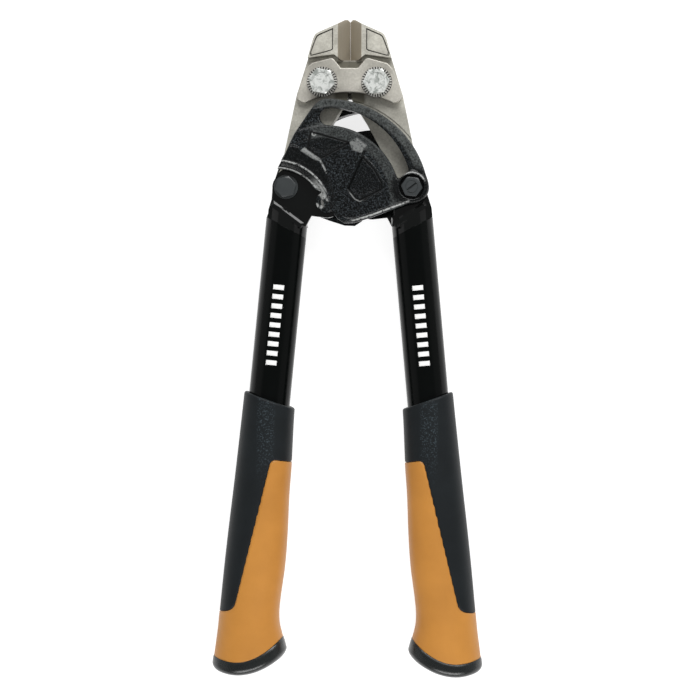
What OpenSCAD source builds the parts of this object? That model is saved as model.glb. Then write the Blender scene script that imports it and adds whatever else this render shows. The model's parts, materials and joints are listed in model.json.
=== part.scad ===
// Compound bolt cutters, 14 inch class, lying flat with the jaws closed.
// X to the right, Y along the tool towards the jaws, Z up from the surface it lies on.
// Everything is drawn about the tool's middle plane and lifted by mid_z at the end.
// The back and right pieces are the front and left ones turned half round about Y.

/* [Layout] */
// Height of the tool's middle plane over the surface
mid_z = 15; // [15:0.5:16]
// Distance of each jaw bolt from the long axis
jaw_bolt_x = 14.7; // [14.4:0.1:15]
// Place of the jaw bolts along the tool
jaw_bolt_y = 143; // [142.5:0.1:143.5]
// Distance of each handle pivot from the long axis
pivot_x = 34; // [33.8:0.1:34.2]
// Place of the handle pivots along the tool
pivot_y = 86.4; // [86:0.1:86.8]
// Distance of each knuckle pin from the long axis
knuckle_x = 11.85; // [11.6:0.05:12.1]
// Place of the knuckle pins along the tool
knuckle_y = 78.1; // [77.8:0.1:78.4]
// Angle of each handle to the long axis when closed
handle_tilt = 5.33; // [5:0.01:5.6]

/* [Jaws] */
// Half the thickness of the jaw arms
arm_half = 5; // [4.6:0.1:5]
// Half the thickness of the jaw heads
head_half = 9.2; // [8.8:0.1:9.4]
// Width of the ground bevel beside the cutting edge
bevel_w = 6.3; // [6:0.1:6.6]
// Gap between the closed jaws
jaw_gap = 0.1; // [0.1:0.05:0.3]
// Radius of the arm's rounded lower end
arm_end_r = 7.4; // [7.2:0.1:7.8]

/* [Link plates] */
// Thickness of each link plate
plate_t = 4; // [3.6:0.1:4.2]
// Gap between pieces that slide flat on each other
slide_gap = 0.2; // [0.15:0.01:0.25]

/* [Bolts] */
// Width across the flats of the jaw bolts and nuts
jaw_hex = 12.5; // [12.3:0.1:12.7]
// Radius of the jaw bolts' shanks
jaw_shank_r = 4.5; // [4.3:0.1:4.6]
// Radius of the handle pivot bolts' shanks
pivot_shank_r = 4.5; // [4.3:0.1:4.6]
// Width across the flats of the pivot bolts and nuts
pivot_hex = 10.2; // [10:0.1:10.4]
// Radial clearance of the running fits
fit = 0.05; // [0.03:0.01:0.08]
// Teeth on each star washer
washer_teeth = 34; // [30:1:40]

/* [Castings] */
// Height of the castings' outer face over the middle plane
shell_top = 15; // [14.8:0.1:15]
// Underside of the castings' shell over the middle plane
shell_under = 11.7; // [11.6:0.05:11.8]
// Outer radius of the crescent rim
rim_r = 55.4; // [55:0.1:55.6]
// Width of the crescent rim
rim_w = 4.8; // [4.6:0.1:5]
// Width of the crescent slot
slot_w = 9.4; // [9.3:0.1:9.5]
// Depth of the sunk panels
panel_depth = 1.3; // [1:0.1:1.6]
// Radius of the knuckle pins
pin_r = 3; // [2.8:0.1:3]

/* [Handles] */
// Outer radius of the handle tubes
tube_r = 11.3; // [11.2:0.05:11.4]
// Wall of the handle tubes
tube_wall = 1.6; // [1.4:0.1:1.8]
// Thickness of the yokes' lugs
lug_t = 3; // [2.8:0.1:3]
// Radius of the hole in the yoke that lets the knuckle pin roll
knuckle_hole_r = 4.7; // [4.6:0.1:4.8]
// Half the thickness of the grips at the flare
grip_half = 14.6; // [14:0.1:14.8]

/* [Hidden] */
$fn = 64;
big = 400;
hair = 0.02;

lug_under = arm_half + slide_gap;
lug_top = lug_under + lug_t;
hub_under = lug_top + slide_gap;
plate_top = lug_under + plate_t;
washer_t = 1;
washer_top = plate_top + washer_t;
jaw_head_h = 4.5;
pivot_head_h = 3.2;
pivot_bore_r = pivot_shank_r + fit;
jaw_bore_r = jaw_shank_r + fit;
nut_floor = 11.3;
nut_well_r = 6.5;
casting_hub_r = 8.9;
pin_top = 12.4;
tube_bore_r = tube_r - tube_wall;
tube_x = 1.6;

left_jaw_bolt_at = [-jaw_bolt_x, jaw_bolt_y];
left_pivot_at = [-pivot_x, pivot_y];
right_pivot_at = [pivot_x, pivot_y];
knuckle_at = [-knuckle_x, knuckle_y];

steel = [0.66, 0.64, 0.6];
zinc = [0.83, 0.85, 0.85];
black_paint = [0.06, 0.065, 0.07];
black_rubber = [0.1, 0.1, 0.11];
orange = [0.86, 0.52, 0.12];

// ---- Shared shapes ----

module half_turn() { rotate([0, 180, 0]) children(); }

module at(p, z = 0) { translate([p[0], p[1], z]) children(); }

module slab(z0, z1) { translate([0, 0, z0]) linear_extrude(z1 - z0) children(); }

module disc(p, r) { translate(p) circle(r); }

function hex_r(flats) = flats / 2 / cos(30);

// A hexagon whose outer corners are turned off by a cone
module hex_head(flats, h, turn, crown = 0.7, flat_r = -0.3) {
    rotate([0, 0, turn]) intersection() {
        cylinder(h = h, r = hex_r(flats), $fn = 6);
        rotate_extrude() polygon([[0, 0], [hex_r(flats), 0], [hex_r(flats), h - crown],
            [flats / 2 + flat_r, h], [0, h]]);
    }
}

// ---- Link plates and jaw bolts ----

module plate_outline() {
    right = [[4.6, 150.6], [8.6, 155.6], [10.2, 156], [20.4, 153.3], [23.7, 149.8],
        [28.3, 136.6], [28.1, 134.2], [26.4, 132.6], [1, 125]];
    left = [for (i = [len(right) - 1 : -1 : 0]) [-right[i][0], right[i][1]]];
    difference() {
        polygon(concat(right, left));
        disc([0, 85.6], 52);
        for (side = [-1, 1]) disc([side * jaw_bolt_x, jaw_bolt_y], jaw_bore_r);
    }
}

module front_plate() { slab(lug_under, plate_top) plate_outline(); }

// The back plate has no notch, so it closes the throat behind the edges
module back_plate() {
    front_plate();
    slab(lug_under, plate_top) {
        polygon([[-9, 150], [9, 150], [9, 154.8], [-9, 154.8]]);
        polygon([[-9, 139], [9, 139], [8.5, 134.9], [0, 135.6], [-8.5, 134.9]]);
    }
}

module jaw_bolt(turn) {
    shank_end = -washer_top - jaw_head_h - 0.1;
    at(left_jaw_bolt_at, shank_end) cylinder(h = washer_top - shank_end, r = jaw_shank_r);
    at(left_jaw_bolt_at, washer_top) difference() {
        hex_head(jaw_hex, jaw_head_h, turn, 0.4, 0.2);
        translate([0, 0, jaw_head_h - 0.3]) cylinder(h = 1, r = jaw_hex / 2 - 1.6);
    }
}

module jaw_nut() {
    at(left_jaw_bolt_at, -washer_top) mirror([0, 0, 1]) difference() {
        hex_head(jaw_hex, jaw_head_h, 8);
        translate([0, 0, -1]) cylinder(h = jaw_head_h + 2, r = jaw_shank_r);
    }
}

module star_washer() {
    washer_r = 8.1;
    slit_w = 0.6;
    at(left_jaw_bolt_at) slab(plate_top, washer_top) difference() {
        circle(washer_r);
        circle(jaw_bore_r);
        for (i = [0 : washer_teeth - 1]) rotate(i * 360 / washer_teeth)
            translate([washer_r - 1.6, -slit_w / 2]) square([3, slit_w]);
    }
}

// ---- Jaws ----

module jaw_head_outline() {
    polygon([[-jaw_gap / 2, 142.6], [-jaw_gap / 2, 176.5], [-1.4, 177.6], [-2.8, 177.2],
        [-bevel_w, 174.6], [-17.4, 169.7], [-18.7, 168.6], [-19.9, 166], [-22.6, 156.2],
        [-8.5, 158], [-4.6, 155.1], [-jaw_gap / 2, 155.1]]);
}

module jaw_arm_outline() {
    difference() {
        union() {
            polygon([[-jaw_gap / 2, 160], [-jaw_gap / 2, 142.6], [-1.3, 133.6], [-9.2, 121.2],
                [-26.8, 89.5], [-34, 86.4], [-40.3, 90.4], [-36.8, 97.5], [-28.8, 136],
                [-22.6, 156.2], [-22, 158]]);
            disc(left_pivot_at, arm_end_r);
        }
        disc(left_jaw_bolt_at, jaw_bore_r);
        disc(left_pivot_at, pivot_bore_r);
    }
}

module panel_outline() {
    polygon([[-8.9, 172.2], [-8.9, 160.6], [-10.3, 159.8], [-21.1, 156.9], [-21.6, 158.4],
        [-18.9, 165.8], [-17.9, 167.9], [-16.7, 168.8]]);
}

// Centre-cut edge: both faces are ground down to the middle plane at the seam
module bevel_cut() {
    land = 0.35;
    translate([0, 200, 0]) rotate([90, 0, 0]) linear_extrude(60)
        polygon([[1, land], [-jaw_gap / 2, land], [-bevel_w, head_half + hair],
            [-bevel_w, 20], [1, 20]]);
}

module left_jaw_shape() {
    groove_depth = 1.1;
    panel_sink = 0.3;
    rim_step = 0.5;
    difference() {
        union() {
            slab(-arm_half, arm_half) jaw_arm_outline();
            slab(-head_half, head_half) intersection() {
                jaw_head_outline();
                translate([-big, 155.1]) square(big);
            }
        }
        for (side = [0, 1]) mirror([0, 0, side]) {
            intersection() {
                bevel_cut();
                translate([-20, 155.1, -1]) cube([40, 40, 40]);
            }
            slab(head_half - groove_depth, head_half + 1) difference() {
                panel_outline();
                translate([-13.9, 164]) scale(0.88) translate([13.9, -164]) panel_outline();
            }
            slab(head_half - panel_sink, head_half + 1) panel_outline();
        }
        // Shallow step where the other side's casting rim lies
        mirror([0, 0, 1]) slab(arm_half - rim_step, arm_half + 1) intersection() {
            mirror([1, 0]) disc(knuckle_at, rim_r + 1.8);
            translate([-37, 92]) square([80, 60]);
        }
    }
}

// ---- Handle pivots ----

module pivot_bolt() {
    stud_r = 3.1;
    stud_end = -14.5;
    difference() {
        union() {
            at(left_pivot_at, -nut_floor) cylinder(h = nut_floor + lug_top, r = pivot_shank_r);
            at(left_pivot_at, stud_end) cylinder(h = 6, r = stud_r);
            at(left_pivot_at, lug_top) cylinder(h = 1, r = 6.5);
            at(left_pivot_at, lug_top + 1) hex_head(pivot_hex, pivot_head_h - 1, 14, 0.5);
        }
        at(left_pivot_at, stud_end - 1) rotate([0, 0, -38]) translate([-4, -0.5, 0]) cube([8, 1, 2]);
    }
}

module pivot_nut() {
    at(left_pivot_at, -nut_floor - hair) mirror([0, 0, 1]) difference() {
        hex_head(pivot_hex, 2.8, 6, 0.5);
        translate([0, 0, -1]) cylinder(h = 5, r = 3.1);
    }
}

// ---- Castings ----

// The hub of the opposite handle fits this hollow in the casting's corner
hollow_at = [-39, 70.1];
hollow_r = 25.6;
hollow_bevel = 4;

module slot_outline() {
    slot_r = rim_r - rim_w;
    round_x = -10.9;
    disc([round_x, knuckle_y + slot_r - slot_w / 2 - 0.05], slot_w / 2);
    // The rim widens towards its right end, so the slot's outer arc is a little tighter
    intersection() {
        difference() {
            disc(knuckle_at + [-1.2, 3.75], slot_r - 3.2);
            disc(knuckle_at + [-0.75, 0.5], slot_r - slot_w - 0.5);
            disc(right_pivot_at, 7.4);
        }
        polygon([[round_x, 115], [round_x, 135], [40, 135], [40, 104], [26.3, 89.1], [20, 89.1]]);
    }
}

module casting_outline() {
    difference() {
        union() {
            intersection() {
                disc(knuckle_at, rim_r);
                polygon([[-19.2, 129.7], [-12, 145], [60, 145], [60, 84], [42.4, 81], [33.3, 77.6],
                    [11.9, 69.6], [3.4, 66.9], [-2.2, 66.7], [-6, 69.2], [-11, 76.6], [-13.2, 83.2],
                    [-40, 92.8], [-36.6, 99.6], [-29, 115.2]]);
            }
            disc(right_pivot_at, casting_hub_r);
        }
        disc(hollow_at, hollow_r);
        slot_outline();
    }
}

// The part of the outline that is a thick rim
module rim_outline() {
    difference() {
        intersection() {
            casting_outline();
            polygon([[-17, 120], [-19, 145], [60, 145], [60, 92], [26, 108]]);
        }
        disc(knuckle_at, rim_r - rim_w);
    }
}

upper_panel = [[-19.6, 114.2], [-4.2, 110], [-15.4, 101.9], [-22, 106.8], [-21.4, 110]];
lower_panel = [[6.4, 101.4], [13.8, 92.8], [16.9, 87.6], [14.9, 85], [4.4, 80.5], [-0.6, 85.6]];
boss_corners = [[-0.5, 110.2], [3.4, 112.4], [8.6, 108.6], [5.6, 104.8], [0.6, 106.8]];

// A lower field beside the hollow, up to the second step
module low_field() {
    intersection() {
        difference() {
            disc(hollow_at, 38.5);
            disc(hollow_at, hollow_r);
        }
        polygon([[-60, 70], [-60, 125], [-25.5, 125], [-24.8, 105.2], [-15.6, 99.8], [-9, 92],
            [-9, 70]]);
    }
}

module front_casting_shape() {
    field = shell_top - 0.6;
    low = shell_top - 1.2;
    band = shell_top - 1.7;
    boss_r = 6;
    difference() {
        union() {
            slab(shell_under, field) difference() {
                casting_outline();
                low_field();
            }
            slab(shell_under, low) casting_outline();
            slab(field - 0.1, shell_top) difference() {
                intersection() {
                    casting_outline();
                    disc([6, 96], 42);
                }
                low_field();
                disc(hollow_at, 38.5);
            }
            slab(6.5, shell_top) rim_outline();
            slab(field - 0.1, shell_top) polygon(boss_corners);
            at(right_pivot_at, hub_under) cylinder(h = shell_top - hub_under, r = casting_hub_r);
            at(knuckle_at, hub_under) cylinder(h = low - hub_under, r = boss_r);
        }
        for (panel = [upper_panel, lower_panel])
            slab(field - panel_depth, shell_top + 1) polygon(panel);
        // Beveled band round the hollow
        at(hollow_at, 0) slab(band, shell_top + 1) circle(hollow_r + hollow_bevel);
        at(right_pivot_at, nut_floor) cylinder(h = 10, r = nut_well_r);
        at(right_pivot_at, 0) cylinder(h = 30, r = pivot_bore_r);
        at(knuckle_at, 0) cylinder(h = pin_top, r = pin_r);
        slab(0, 30) slot_outline();
    }
}

module knuckle_pin() {
    foot = lug_under + 0.2;
    at(knuckle_at, foot) cylinder(h = pin_top - foot, r = pin_r);
}

// ---- Handles, drawn about the left pivot with the tube straight down ----

module handle_place() { at(left_pivot_at) rotate([0, 0, -handle_tilt]) children(); }

// The knuckle's place in the handle's own frame
knuckle_dx = pivot_x - knuckle_x;
knuckle_dy = knuckle_y - pivot_y;
knuckle_local = [knuckle_dx * cos(handle_tilt) - knuckle_dy * sin(handle_tilt),
    knuckle_dx * sin(handle_tilt) + knuckle_dy * cos(handle_tilt)];

tube_slant = -23.3;
tube_top_y = -21.5;
shoulder_slant = -31;
shoulder_y = -13.6;

// Half space below a slanted line through the tube's axis
module below(y, slant) {
    translate([tube_x, y, 0]) rotate([0, 0, slant]) translate([-60, -300, -60]) cube([120, 300, 120]);
}

module rod(r, y0, y1) { translate([tube_x, y1, 0]) rotate([90, 0, 0]) cylinder(h = y1 - y0, r = r); }

module front_lug_outline() {
    difference() {
        union() {
            circle(7.4);
            disc([1.1, 3], 7.2);
            disc(knuckle_local, 8.2);
            polygon([[-7.3, 1], [-7, -10], [-8.6, -16.6], [-9.6, -20], [12.8, -20], [15.2, -14.2],
                [knuckle_local[0], knuckle_local[1] - 8.2], [knuckle_local[0] + 1.5, knuckle_local[1] + 8],
                [1.5, 8]]);
            // Cast lumps along the knuckle's edge
            for (a = [150, 195, 225]) disc(knuckle_local + 8 * [cos(a), sin(a)], 1.5);
        }
        circle(pivot_bore_r);
        disc(knuckle_local, knuckle_hole_r);
    }
}

module back_lug_outline() {
    difference() {
        union() {
            circle(7);
            polygon([[-7, 0], [-9.6, -12], [-9.6, -20], [12.8, -20], [9, -8], [6.4, -2.5]]);
        }
        circle(pivot_bore_r);
    }
}

// Bevelled bar across the shoulder, both sides
module shoulder_bar() {
    bar_l = 18;
    bar_w = 1;
    bar_top = tube_r + 0.32;
    bevel_w = 1.2;
    bevel_h = 0.6;
    translate([2.2, -14.8, 0]) rotate([0, 0, shoulder_slant]) hull() {
        slab(bevel_h - bar_top, bar_top - bevel_h)
            square([bar_l + 2 * bevel_w, bar_w + 2 * bevel_w], center = true);
        slab(-bar_top, bar_top) square([bar_l, bar_w], center = true);
    }
}
module yoke_shape() {
    throat_r = 10.4;
    plug_end = -62;
    difference() {
        union() {
            intersection() {
                rod(tube_r, -45, 10);
                difference() {
                    translate([-60, -60, -60]) cube([120, 50.6, 120]);
                    below(tube_top_y, tube_slant);
                }
            }
            rod(tube_bore_r, plug_end, -20);
            shoulder_bar();
        }
        cylinder(h = 2 * lug_under, r = throat_r, center = true);
        // Flats that carry the lugs on, down to the sloping shoulder
        for (side = [0, 1]) mirror([0, 0, side])
            translate([0, 0, lug_top]) difference() {
                translate([-30, -40, 0]) cube([60, 60, 20]);
                translate([0, 0, -5]) below(shoulder_y + 2, shoulder_slant);
            }
        // Outer side, narrower than the tube
        slab(-20, 20) polygon([[-30, 12], [-7.2, 12], [-7, -10], [-8.6, -16.6], [-30, -16.6]]);
    }
    difference() {
        union() {
            slab(lug_under, lug_top) front_lug_outline();
            slab(-lug_top, -lug_under) back_lug_outline();
        }
        below(tube_top_y, tube_slant);
    }
}

module tube_shape() {
    intersection() {
        difference() {
            rod(tube_r, -250, -10);
            rod(tube_bore_r, -260, 0);
        }
        below(tube_top_y, tube_slant);
    }
}

// One slice of the grip: place along the handle, tilt, middle, half width, half thickness
function grip_slices() = [[-108, 0, 1.7, 13.9, 13.4], [-150, 0, 2.1, 15, 13.4],
    [-200, 0, 2.5, 16.4, 13.9], [-226, 0, 2, 16.3, 14.1], [-236, 4, 2.4, 16.9, 14.3],
    [-249, 18, 4.9, 20, grip_half], [-259.2, 24, 3.3, 18.2, 13.2]];

module grip_slice(s) {
    translate([s[2], s[0], 0]) rotate([90, 0, s[1]]) linear_extrude(0.05)
        polygon([for (a = [0 : 11.25 : 359]) let (c = cos(a), n = sin(a))
            [s[3] * sign(c) * pow(abs(c), 0.8), s[4] * sign(n) * pow(abs(n), 0.8)]]);
}

module grip_form() {
    s = grip_slices();
    for (i = [0 : len(s) - 2]) hull() {
        grip_slice(s[i]);
        grip_slice(s[i + 1]);
    }
}

// Region of the grip that the colour inlay fills, seen from the front
module inlay_region() {
    slab(-30, 30) polygon([[40, -147.5], [7.4, -147], [6.2, -150.5], [-4.9, -226], [-7, -228.5],
        [-40, -240], [-40, -300], [40, -300]]);
}

cap_y = -251.5;
cap_slant = 22;

module cap_region() {
    translate([4, cap_y, 0]) rotate([0, 0, cap_slant]) translate([-60, -100, -60])
        cube([120, 100, 120]);
}

module grip_core() { rod(tube_r, -250, 0); }

module grip_top_cut() {
    translate([tube_x, -115.2, 0]) rotate([0, 0, -13.3]) translate([-60, 0, -60])
        cube([120, 60, 120]);
}

module grip_body_shape() {
    difference() {
        grip_form();
        grip_core();
        grip_top_cut();
        inlay_region();
        cap_region();
    }
}

module grip_inlay_shape() {
    difference() {
        intersection() {
            grip_form();
            inlay_region();
        }
        grip_core();
        cap_region();
    }
}

module end_cap_shape() {
    difference() {
        intersection() {
            grip_form();
            cap_region();
        }
        grip_core();
    }
}

// ---- Nodes ----

module lift() { translate([0, 0, mid_z]) children(); }

module front_link_plate() { color(steel) lift() front_plate(); }
module back_link_plate() { color(steel) lift() half_turn() back_plate(); }
module left_jaw_bolt() { color(zinc) lift() jaw_bolt(-11); }
module right_jaw_bolt() { color(zinc) lift() mirror([1, 0, 0]) jaw_bolt(-5); }
module left_jaw_nut() { color(zinc) lift() jaw_nut(); }
module right_jaw_nut() { color(zinc) lift() mirror([1, 0, 0]) jaw_nut(); }
module left_star_washer() { color(zinc) lift() star_washer(); }
module right_star_washer() { color(zinc) lift() mirror([1, 0, 0]) star_washer(); }
module left_nut_washer() { color(zinc) lift() mirror([0, 0, 1]) star_washer(); }
module right_nut_washer() { color(zinc) lift() half_turn() star_washer(); }
module left_jaw() { color(steel) lift() left_jaw_shape(); }
module right_jaw() { color(steel) lift() half_turn() left_jaw_shape(); }
module left_pivot_bolt() { color(black_paint) lift() pivot_bolt(); }
module right_pivot_bolt() { color(black_paint) lift() half_turn() pivot_bolt(); }
module left_pivot_nut() { color(black_paint) lift() pivot_nut(); }
module right_pivot_nut() { color(black_paint) lift() half_turn() pivot_nut(); }
module front_casting() { color(black_paint) lift() front_casting_shape(); }
module back_casting() { color(black_paint) lift() half_turn() front_casting_shape(); }
module front_knuckle_pin() { color(steel) lift() knuckle_pin(); }
module back_knuckle_pin() { color(steel) lift() half_turn() knuckle_pin(); }
module left_yoke() { color(black_paint) lift() handle_place() yoke_shape(); }
module right_yoke() { color(black_paint) lift() half_turn() handle_place() yoke_shape(); }
module left_tube() { color(black_paint) lift() handle_place() tube_shape(); }
module right_tube() { color(black_paint) lift() half_turn() handle_place() tube_shape(); }
module left_grip_body() { color(black_rubber) lift() handle_place() grip_body_shape(); }
module right_grip_body() { color(black_rubber) lift() half_turn() handle_place() grip_body_shape(); }
module left_grip_inlay() { color(orange) lift() handle_place() grip_inlay_shape(); }
module right_grip_inlay() { color(orange) lift() half_turn() handle_place() grip_inlay_shape(); }
module left_end_cap() { color(black_rubber) lift() handle_place() end_cap_shape(); }
module right_end_cap() { color(black_rubber) lift() half_turn() handle_place() end_cap_shape(); }

front_link_plate();
back_link_plate();
left_jaw_bolt();
right_jaw_bolt();
left_jaw_nut();
right_jaw_nut();
left_star_washer();
right_star_washer();
left_nut_washer();
right_nut_washer();
left_jaw();
right_jaw();
left_pivot_bolt();
right_pivot_bolt();
left_pivot_nut();
right_pivot_nut();
front_casting();
back_casting();
front_knuckle_pin();
back_knuckle_pin();
left_yoke();
right_yoke();
left_tube();
right_tube();
left_grip_body();
right_grip_body();
left_grip_inlay();
right_grip_inlay();
left_end_cap();
right_end_cap();
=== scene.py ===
"""Bolt cutters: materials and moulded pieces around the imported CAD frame, in metres."""

import json
import math

import bmesh
import bpy
import numpy as np
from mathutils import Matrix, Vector


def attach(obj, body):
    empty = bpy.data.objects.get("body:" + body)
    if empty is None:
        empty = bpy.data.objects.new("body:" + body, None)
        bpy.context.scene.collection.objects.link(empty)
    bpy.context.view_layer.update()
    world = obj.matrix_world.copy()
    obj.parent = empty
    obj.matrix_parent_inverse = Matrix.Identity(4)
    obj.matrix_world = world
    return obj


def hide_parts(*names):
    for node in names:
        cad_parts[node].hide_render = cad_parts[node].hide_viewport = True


MM = 0.001

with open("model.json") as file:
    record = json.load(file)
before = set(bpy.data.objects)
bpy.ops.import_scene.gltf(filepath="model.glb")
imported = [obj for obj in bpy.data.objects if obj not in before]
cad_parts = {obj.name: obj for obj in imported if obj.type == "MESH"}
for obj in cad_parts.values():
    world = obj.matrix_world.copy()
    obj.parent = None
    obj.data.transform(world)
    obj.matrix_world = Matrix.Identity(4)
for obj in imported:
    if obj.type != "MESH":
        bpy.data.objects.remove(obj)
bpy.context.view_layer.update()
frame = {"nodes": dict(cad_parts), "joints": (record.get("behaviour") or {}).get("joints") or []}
nodes = frame["nodes"]
joints = {j["name"]: j for j in frame["joints"]}
mid_z = joints["left_handle_turn"]["pos_m"][2]


# ---------------------------------------------------------------- camera, floor, light

CAMERA_DISTANCE = 1.1
VIEW_WIDTH = 0.3777         # of the tool's middle plane, as the picture shows it
CAMERA_SIDE = 0.060         # the camera stands this far to the tool's right
CAMERA_AIM = 0.030          # its axis meets the tool this far right, and lens shift makes up for it
CAMERA_TRIM = 0.00045       # centres the tool in the picture
CAMERA_ROLL = math.radians(0.3)
FLOOR_HALF = 3.0
FLOOR_GLOW = 0.80
WORLD_STRENGTH = 0.25


def make_camera():
    """Above the tool and a little to its right, jaws towards the top of the picture."""
    turn = math.atan2(CAMERA_SIDE - CAMERA_AIM, CAMERA_DISTANCE)
    data = bpy.data.cameras.new("camera")
    data.sensor_width = 36
    data.lens = data.sensor_width * CAMERA_DISTANCE / VIEW_WIDTH
    cam = bpy.data.objects.new("camera", data)
    data.shift_x = -CAMERA_AIM / VIEW_WIDTH
    cam.location = (CAMERA_SIDE - CAMERA_TRIM, 0.0, mid_z + CAMERA_DISTANCE)
    cam.rotation_euler = (0, turn, CAMERA_ROLL)
    bpy.context.scene.collection.objects.link(cam)
    bpy.context.scene.camera = cam


def make_floor():
    """A pale sheet that glows a little, so that only a faint shadow stays."""
    mesh = bpy.data.meshes.new("floor")
    half = FLOOR_HALF
    corners = [(-half, -half, 0), (half, -half, 0), (half, half, 0), (-half, half, 0)]
    mesh.from_pydata(corners, [], [(0, 1, 2, 3)])
    floor = bpy.data.objects.new("floor", mesh)
    bpy.context.scene.collection.objects.link(floor)
    s = Shader("floor_white", roughness=0.9, emission_strength=FLOOR_GLOW)
    s.colour(s.mix(s.noise(3, 2), (0.39, 0.39, 0.39), (0.41, 0.41, 0.41)))
    floor.data.materials.append(s.mat)


def area_light(name, at, size, power, look_at=(0, 0, 0)):
    data = bpy.data.lights.new(name, "AREA")
    data.shape = "RECTANGLE"
    data.size, data.size_y = size
    data.energy = power
    lamp = bpy.data.objects.new(name, data)
    lamp.location = at
    lamp.rotation_mode = "QUATERNION"
    lamp.rotation_quaternion = (Vector(look_at) - Vector(at)).to_track_quat("-Z", "Y")
    bpy.context.scene.collection.objects.link(lamp)


def make_lights():
    """Soft boxes beyond both ends and low at the left, so gloss black stays black from above."""
    area_light("softbox_head", (0.3, 1.2, 1.0), (1.3, 0.8), 25)
    area_light("softbox_foot", (0.1, -1.35, 0.9), (1.4, 0.7), 22)
    area_light("softbox_left", (-1.6, 0.1, 0.7), (2.2, 1.2), 3)
    area_light("softbox_right", (1.6, 0.2, 0.7), (2.2, 1.2), 2)
    bpy.context.scene.view_settings.view_transform = "Standard"
    world = bpy.data.worlds.new("studio")
    world.use_nodes = True
    world.node_tree.nodes["Background"].inputs["Color"].default_value = (1, 1, 1, 1)
    world.node_tree.nodes["Background"].inputs["Strength"].default_value = WORLD_STRENGTH
    bpy.context.scene.world = world


# ---------------------------------------------------------------- materials

GROUND_HALF = 6.35 * MM     # half width of the ground cutting faces, and where they start
GROUND_FROM = 155.0 * MM
THROAT_HALF = 7.5 * MM      # half width of the throat below them, where shade is painted, and where it starts
THROAT_FROM = 131.5 * MM
WASHER_AT = (14.7 * MM, 143.0 * MM, 8.3 * MM)   # x, y and radius of the painted ring of shade under a washer

# painted shade in the sunk throat between the jaws
THROAT_SHADE = (0.17, 0.16, 0.125)
# painted shade in corners and grooves
CORNER_SHADE = (0.035, 0.032, 0.028)
# painted shade in rings under the washers
WASHER_SHADE = (0.012, 0.012, 0.011)
# black of the castings' paint, also used for painted shade in their corners and grooves
PAINT_BLACK = (0.0015, 0.002, 0.002)
# bare metal of the castings, used where paint is rubbed off and for painted highlights on lips and edges
BARE_CASTING_AND_HIGHLIGHT = (0.42, 0.43, 0.42)


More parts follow.
